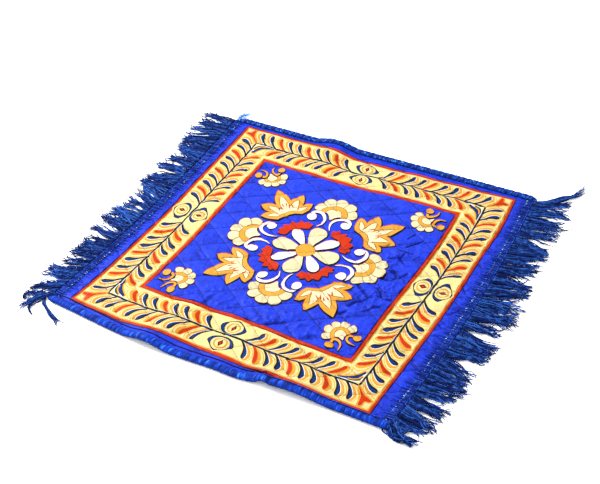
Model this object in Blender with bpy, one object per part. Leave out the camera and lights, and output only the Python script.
"""Prayer rug: a printed, diamond-quilted mat with two rolled edges and two fringed ends, lying flat.

Metres, +Z up, the floor at z = 0. The fringes lie to -X and +X and the rolled edges to -Y and +Y.
The origin is below the middle of the whole outline, loose yarns included.

A place on the cloth is given flat, as (u, v) from the middle of its print. laid() turns it into the
place where it lies, because the cloth is a little bowed and its front edge bulges.
"""

import math
import random
from collections import namedtuple

import bmesh
import bpy
from mathutils import Matrix, Vector

GAP = 0.0003

# The cloth between its rolled edges and its heading tapes, flat, from the middle of the print
CLOTH_LEFT = -0.294
CLOTH_RIGHT = 0.298
CLOTH_FRONT = -0.2695
CLOTH_BACK = 0.276

# Quilting: the stitches lie this high, and each diamond's middle is puffed above them
STITCHED_HEIGHT = 0.0040
PUFF_HEIGHT = 0.0024
PUFF_ROUNDNESS = 0.6
EDGE_FADE = 0.018
DIAMONDS_ACROSS = 7.75
DIAMONDS_DEEP = 11.5
STEPS_PER_DIAMOND = 4
NODE_STEPS_FROM_LEFT = 29
NODE_STEPS_FROM_FRONT = 42

# How the cloth lies
SIDE_BOW = 0.013
BOW_HALF_LENGTH = 0.275
FRONT_BULGE = 0.0175
BULGE_PLACE = -0.090
BULGE_SPREAD = 0.190
BULGE_DEPTH = 0.150

# Places where the cloth stands off the floor: middle, lean of the crest, reach to each side, height
Rise = namedtuple("Rise", "u v lean reach_across reach_along height")
RISES = (
    Rise(u=-0.103, v=-0.285, lean=0.18, reach_across=0.048, reach_along=0.165, height=0.0085),
    Rise(u=0.150, v=-0.285, lean=-0.30, reach_across=0.075, reach_along=0.080, height=0.008),
    Rise(u=-0.078, v=0.290, lean=0.10, reach_across=0.048, reach_along=0.120, height=0.009),
)

# Rolled edges
ROLL_WIDTH = 0.0145
ROLL_HEIGHT = 0.0105
ROLL_FLAT = 0.0010
ROLL_POINTS = 46
ROLL_OVERHANG = 0.0095

# The back roll stops at its left corner in a loose end of thread, drawn from the roll's end outwards
ThreadEnd = namedtuple("ThreadEnd", "along outward width")
THREAD_END = (
    ThreadEnd(along=-0.0060, outward=0.0035, width=0.50),
    ThreadEnd(along=-0.0065, outward=0.0150, width=0.32),
    ThreadEnd(along=0.0040, outward=0.0340, width=0.30),
)

# Heading tapes and their yarns
TAPE_WIDTH = 0.0090
TAPE_HEIGHT = 0.0048
YARNS = 120
YARNS_PER_TAPE_SPAN = 8
YARN_SHARE = 0.62
YARN_WIDTH_AT_TIP = 0.0015
YARN_HEIGHT = 0.0028
YARN_HEIGHT_AT_TIP = 0.0016
YARN_STATIONS = (0.22, 0.6, 1.0)
LOCK_SIZES = (3, 4, 5, 6)
LOCK_PULL = 0.42
LOCK_SWAY = 0.0045
LENGTH_SPREAD = 0.07

# The lie of the yarns along each tape: lean towards the back in degrees, and length
Lie = namedtuple("Lie", "v lean length")
LEFT_LIES = (
    Lie(v=-0.2695, lean=-41, length=0.058),
    Lie(v=-0.235, lean=-18, length=0.062),
    Lie(v=-0.120, lean=6, length=0.066),
    Lie(v=0.000, lean=12, length=0.072),
    Lie(v=0.150, lean=3, length=0.072),
    Lie(v=0.240, lean=-1, length=0.078),
    Lie(v=0.276, lean=9, length=0.078),
)
RIGHT_LIES = (
    Lie(v=-0.2695, lean=-14, length=0.040),
    Lie(v=-0.248, lean=0, length=0.058),
    Lie(v=-0.150, lean=-3, length=0.066),
    Lie(v=0.000, lean=5, length=0.067),
    Lie(v=0.150, lean=13, length=0.065),
    Lie(v=0.276, lean=24, length=0.068),
)

# Loose bundles at the corners: which yarn from the front, and how far out and back it runs from its root
Stray = namedtuple("Stray", "yarn route")
LEFT_STRAYS = (
    Stray(yarn=0, route=((0.008, -0.010), (0.006, -0.028), (-0.030, -0.045), (-0.078, -0.060))),
    Stray(yarn=1, route=((0.016, -0.008), (0.021, -0.030), (0.014, -0.052), (-0.002, -0.066))),
)
RIGHT_STRAYS = (
    Stray(yarn=YARNS - 1, route=((0.018, 0.016), (0.040, 0.044), (0.060, 0.062), (0.066, 0.082))),
)
STRAY_WIDTH = 0.0026

COLLECTION = "prayer_rug"
CLOTH_BLUE = (0.055, 0.095, 0.80, 1.0)
ROLL_BLUE = (0.02, 0.15, 0.62, 1.0)
YARN_NAVY = (0.012, 0.035, 0.26, 1.0)


def smooth(share):
    """0 below 0, 1 above 1, and an S-curve between."""
    share = min(max(share, 0.0), 1.0)
    return share * share * (3 - 2 * share)


def side_bow(v):
    """How far the middle of the rug has slid towards +X at depth v."""
    return SIDE_BOW * (1 - (v / BOW_HALF_LENGTH) ** 2)


def front_bulge(u):
    """How far the front edge has slid towards -Y at u."""
    return FRONT_BULGE * math.exp(-(((u - BULGE_PLACE) / BULGE_SPREAD) ** 2))


def laid(u, v):
    """Where the flat place (u, v) lies, seen from above."""
    near_front = 1 - smooth((v - CLOTH_FRONT) / BULGE_DEPTH)
    return u + side_bow(v), v - front_bulge(u) * near_front


def rise(u, v):
    """How high the cloth's underside stands off the floor at (u, v)."""
    height = 0.0
    for one in RISES:
        along = (v - one.v) / one.reach_along
        across = (u - one.u - one.lean * (v - one.v)) / one.reach_across
        height += one.height * max(0.0, 1 - along * along - across * across) ** 2
    return height


HALF_ACROSS = (CLOTH_RIGHT - CLOTH_LEFT) / DIAMONDS_ACROSS / 2
HALF_DEEP = (CLOTH_BACK - CLOTH_FRONT) / DIAMONDS_DEEP / 2
NODE_U = CLOTH_LEFT + NODE_STEPS_FROM_LEFT * HALF_ACROSS / STEPS_PER_DIAMOND
NODE_V = CLOTH_FRONT + NODE_STEPS_FROM_FRONT * HALF_DEEP / STEPS_PER_DIAMOND


def puff(u, v):
    """How high the padding stands above the stitches: 0 on a stitch line and full in a diamond's middle."""
    across, deep = (u - NODE_U) / HALF_ACROSS, (v - NODE_V) / HALF_DEEP
    first, second = (across + deep) / 2, (across - deep) / 2
    hill = abs(math.sin(math.pi * first) * math.sin(math.pi * second)) ** PUFF_ROUNDNESS
    to_edge = min(u - CLOTH_LEFT, CLOTH_RIGHT - u, v - CLOTH_FRONT, CLOTH_BACK - v)
    return PUFF_HEIGHT * hill * smooth(to_edge / EDGE_FADE)


def new_object(bm, name, material):
    """Makes the bmesh an object of the rug's collection."""
    bmesh.ops.recalc_face_normals(bm, faces=bm.faces)
    mesh = bpy.data.meshes.new(name)
    bm.to_mesh(mesh)
    bm.free()
    mesh.materials.append(material)
    obj = bpy.data.objects.new(name, mesh)
    bpy.data.collections[COLLECTION].objects.link(obj)
    return obj


def cloth_material(name, colour, roughness):
    """A plain fabric finish."""
    material = bpy.data.materials.new(name)
    material.use_nodes = True
    shader = material.node_tree.nodes["Principled BSDF"]
    shader.inputs["Base Color"].default_value = colour
    shader.inputs["Roughness"].default_value = roughness
    shader.inputs["Metallic"].default_value = 0.0
    return material


def diamond_grid():
    """A grid sheared until its cells are parts of the quilting's diamonds, trimmed to the flat cloth."""
    bm = bmesh.new()
    reach = math.ceil(DIAMONDS_ACROSS + DIAMONDS_DEEP)
    cells = 2 * reach * STEPS_PER_DIAMOND
    bmesh.ops.create_grid(bm, x_segments=cells, y_segments=cells, size=reach)
    shear = Matrix((
        (HALF_ACROSS, HALF_ACROSS, 0, NODE_U),
        (HALF_DEEP, -HALF_DEEP, 0, NODE_V),
        (0, 0, 1, 0),
        (0, 0, 0, 1),
    ))
    bmesh.ops.transform(bm, matrix=shear, verts=bm.verts)
    trims = (
        (Vector((CLOTH_LEFT, 0, 0)), Vector((-1, 0, 0))),
        (Vector((CLOTH_RIGHT, 0, 0)), Vector((1, 0, 0))),
        (Vector((0, CLOTH_FRONT, 0)), Vector((0, -1, 0))),
        (Vector((0, CLOTH_BACK, 0)), Vector((0, 1, 0))),
    )
    for point, outward in trims:
        everything = bm.verts[:] + bm.edges[:] + bm.faces[:]
        bmesh.ops.bisect_plane(
            bm, geom=everything, dist=0.00001, plane_co=point, plane_no=outward, clear_outer=True
        )
    return bm


def quilted_mat(material):
    """The cloth: puffed diamonds above, and below a flat underside except where the cloth stands up."""
    bm = diamond_grid()
    under = bm.verts[:]
    raised = bmesh.ops.extrude_face_region(bm, geom=bm.faces[:])["geom"]
    for vert in (item for item in raised if isinstance(item, bmesh.types.BMVert)):
        u, v = vert.co.x, vert.co.y
        vert.co.z = rise(u, v) + STITCHED_HEIGHT + puff(u, v)
    for vert in under:
        vert.co.z = rise(vert.co.x, vert.co.y)
    flat = [face for face in bm.faces if all(vert.co.z == 0 for vert in face.verts)]
    bmesh.ops.dissolve_faces(bm, faces=flat)
    for vert in bm.verts:
        vert.co.x, vert.co.y = laid(vert.co.x, vert.co.y)
    return new_object(bm, "quilted_mat", material)


def roll_line(v_edge, outward, thread_end):
    """The middle line of a rolled edge with its width, seen from above, from left to right."""
    first, last = CLOTH_LEFT - ROLL_OVERHANG, CLOTH_RIGHT + ROLL_OVERHANG
    if thread_end:
        first = CLOTH_LEFT
    line = []
    for step in range(ROLL_POINTS):
        u = first + (last - first) * step / (ROLL_POINTS - 1)
        x, y = laid(u, v_edge)
        line.append((x, y + outward * (ROLL_WIDTH / 2 + GAP), 1.0))
    if thread_end:
        x, y, _ = line[0]
        for spot in THREAD_END:
            line.insert(0, (x + spot.along, y + outward * spot.outward, spot.width))
    return line


def rolled_edge(name, v_edge, outward, thread_end, material):
    """A round roll pressed a little flat, which follows the cloth up where the cloth stands off the floor."""
    line = roll_line(v_edge, outward, thread_end)
    curve = bpy.data.curves.new(name, "CURVE")
    curve.dimensions = "3D"
    curve.bevel_depth = ROLL_WIDTH / 2
    curve.bevel_resolution = 2
    curve.use_fill_caps = True
    spline = curve.splines.new("POLY")
    spline.points.add(len(line) - 1)
    for point, (x, y, radius) in zip(spline.points, line):
        point.co = (x, y, ROLL_WIDTH / 2, 1)
        point.radius = radius
    guide = bpy.data.objects.new(name + "_guide", curve)
    bpy.data.collections[COLLECTION].objects.link(guide)
    solid = bpy.data.meshes.new_from_object(guide.evaluated_get(bpy.context.evaluated_depsgraph_get()))
    bpy.data.objects.remove(guide)
    bm = bmesh.new()
    bm.from_mesh(solid)
    bpy.data.meshes.remove(solid)
    bmesh.ops.remove_doubles(bm, verts=bm.verts, dist=0.00001)
    press = (ROLL_HEIGHT + ROLL_FLAT) / ROLL_WIDTH
    for vert in bm.verts:
        on_floor = max(0.0, vert.co.z * press - ROLL_FLAT)
        vert.co.z = on_floor + rise(vert.co.x, v_edge)
    return new_object(bm, name, material)


def between(lies, v):
    """The lean in radians and the length of a yarn rooted at v."""
    for low, high in zip(lies, lies[1:]):
        if v <= high.v:
            share = (v - low.v) / (high.v - low.v)
            lean = low.lean + (high.lean - low.lean) * share
            return math.radians(lean), low.length + (high.length - low.length) * share
    return math.radians(lies[-1].lean), lies[-1].length


def root_limits(yarn):
    """Where a yarn's root begins and ends along the tape."""
    pitch = (CLOTH_BACK - CLOTH_FRONT) / YARNS
    middle = CLOTH_FRONT + pitch * (yarn + 0.5)
    half = pitch * YARN_SHARE / 2
    return middle - half, middle + half


def heading_tape(side):
    """The tape, flat on the floor, with one wall face for each yarn, and those faces from front to back."""
    inner = (CLOTH_RIGHT if side > 0 else CLOTH_LEFT) + side * GAP
    cuts = [CLOTH_FRONT, *(limit for yarn in range(YARNS) for limit in root_limits(yarn)), CLOTH_BACK]
    bm = bmesh.new()
    bmesh.ops.create_grid(bm, x_segments=1, y_segments=len(cuts) - 1, size=1)
    ranks = sorted({round(vert.co.y, 5) for vert in bm.verts})
    for vert in bm.verts:
        v = cuts[ranks.index(round(vert.co.y, 5))]
        u = inner + side * TAPE_WIDTH * (vert.co.x * side + 1) / 2
        vert.co = (u, v, 0)
    raised = bmesh.ops.extrude_face_region(bm, geom=bm.faces[:])["geom"]
    top = [item for item in raised if isinstance(item, bmesh.types.BMVert)]
    bmesh.ops.translate(bm, vec=(0, 0, TAPE_HEIGHT), verts=top)
    bmesh.ops.recalc_face_normals(bm, faces=bm.faces)
    join_tape_spans(bm, inner)
    for vert in bm.verts:
        vert.co.x, vert.co.y = laid(vert.co.x, vert.co.y)
    bm.normal_update()
    outer = [face for face in bm.faces if face.normal.x * side > 0.9]
    outer.sort(key=lambda face: face.calc_center_median().y)
    return bm, outer[1::2]


def join_tape_spans(bm, inner):
    """Joins the tape's top, bottom and inner faces over a few yarns, where no yarn needs them cut."""
    span = (CLOTH_BACK - CLOTH_FRONT) * YARNS_PER_TAPE_SPAN / YARNS
    groups = {}
    for face in bm.faces:
        middle = face.calc_center_median()
        on_inner = abs(middle.x - inner) < GAP
        if abs(face.normal.z) > 0.5 or on_inner:
            key = (round(face.normal.z), int((middle.y - CLOTH_FRONT) / span))
            groups.setdefault(key, []).append(face)
    for faces in groups.values():
        bmesh.ops.dissolve_faces(bm, faces=faces)
    loose = [vert for vert in bm.verts if len(vert.link_edges) == 2]
    bmesh.ops.dissolve_verts(bm, verts=loose)


def draw_yarn(bm, root, stations):
    """Extrudes a yarn from its root face through stations of (middle, direction, width, height)."""
    face = root
    for middle, direction, width, height in stations:
        face = bmesh.ops.extrude_discrete_faces(bm, faces=[face])["faces"][0]
        across = Vector((-direction.y, direction.x))
        centre = face.calc_center_median()
        for vert in face.verts:
            left = (vert.co.xy - centre.xy).dot(across) > 0
            high = vert.co.z > centre.z
            spot = middle + across * (width / 2 if left else -width / 2)
            vert.co = (spot.x, spot.y, height if high else 0.0)


def yarn_stations(root, side, lean, length, drift):
    """A plain yarn: straight along its lean, drawn sideways towards the middle of its lock."""
    start = root.calc_center_median().xy
    way = Vector((side * math.cos(lean), math.sin(lean)))
    root_width = (CLOTH_BACK - CLOTH_FRONT) / YARNS * YARN_SHARE
    stations = []
    for share in YARN_STATIONS:
        middle = start + way * length * share + Vector((0, drift * smooth(share)))
        width = (root_width + (YARN_WIDTH_AT_TIP - root_width) * share) * math.cos(lean)
        height = YARN_HEIGHT + (YARN_HEIGHT_AT_TIP - YARN_HEIGHT) * share
        stations.append((middle, way, width, height))
    return stations


def stray_stations(root, side, route):
    """A loose bundle that follows its own route."""
    start = root.calc_center_median().xy
    spots = [start + Vector((side * out, back)) for out, back in route]
    stations = []
    for index, spot in enumerate(spots):
        before = spots[index - 1] if index else start
        after = spots[min(index + 1, len(spots) - 1)]
        way = (after - before).normalized()
        share = (index + 1) / len(spots)
        width = STRAY_WIDTH + (YARN_WIDTH_AT_TIP - STRAY_WIDTH) * share
        height = YARN_HEIGHT + (YARN_HEIGHT_AT_TIP - YARN_HEIGHT) * share
        stations.append((spot, way, width, height))
    return stations


def lock_drifts(chance):
    """How far each yarn's tip drifts sideways, yarns being drawn together in locks of a few."""
    pitch = (CLOTH_BACK - CLOTH_FRONT) / YARNS
    drifts = []
    while len(drifts) < YARNS:
        size = min(chance.choice(LOCK_SIZES), YARNS - len(drifts))
        sway = chance.uniform(-LOCK_SWAY, LOCK_SWAY)
        for place in range(size):
            drifts.append(((size - 1) / 2 - place) * pitch * LOCK_PULL + sway)
    return drifts


def fringe(name, side, lies, strays, seed, material):
    """A heading tape and the yarns that lie on the floor beside it."""
    chance = random.Random(seed)
    drifts = lock_drifts(chance)
    bm, roots = heading_tape(side)
    routes = {stray.yarn: stray.route for stray in strays}
    for yarn, root in enumerate(roots):
        if yarn in routes:
            stations = stray_stations(root, side, routes[yarn])
        else:
            lean, length = between(lies, sum(root_limits(yarn)) / 2)
            length *= 1 + chance.uniform(-LENGTH_SPREAD, LENGTH_SPREAD)
            stations = yarn_stations(root, side, lean, length, drifts[yarn])
        draw_yarn(bm, root, stations)
    return new_object(bm, name, material)


def centre_on_origin(objects):
    """Moves the meshes so that the origin is below the middle of the whole outline."""
    points = [vert.co for obj in objects for vert in obj.data.vertices]
    middle_x = (min(p.x for p in points) + max(p.x for p in points)) / 2
    middle_y = (min(p.y for p in points) + max(p.y for p in points)) / 2
    for obj in objects:
        obj.data.transform(Matrix.Translation((-middle_x, -middle_y, 0)))


def main():
    for obj in list(bpy.data.objects):
        bpy.data.objects.remove(obj)
    bpy.context.scene.collection.children.link(bpy.data.collections.new(COLLECTION))
    cloth = cloth_material("printed_satin", CLOTH_BLUE, 0.5)
    thread = cloth_material("overcast_thread", ROLL_BLUE, 0.55)
    yarn = cloth_material("navy_yarn", YARN_NAVY, 0.7)
    pieces = [
        quilted_mat(cloth),
        rolled_edge("rolled_edge_front", CLOTH_FRONT, -1, False, thread),
        rolled_edge("rolled_edge_back", CLOTH_BACK, 1, True, thread),
        fringe("fringe_left", -1, LEFT_LIES, LEFT_STRAYS, 11, yarn),
        fringe("fringe_right", 1, RIGHT_LIES, RIGHT_STRAYS, 23, yarn),
    ]
    centre_on_origin(pieces)


main()
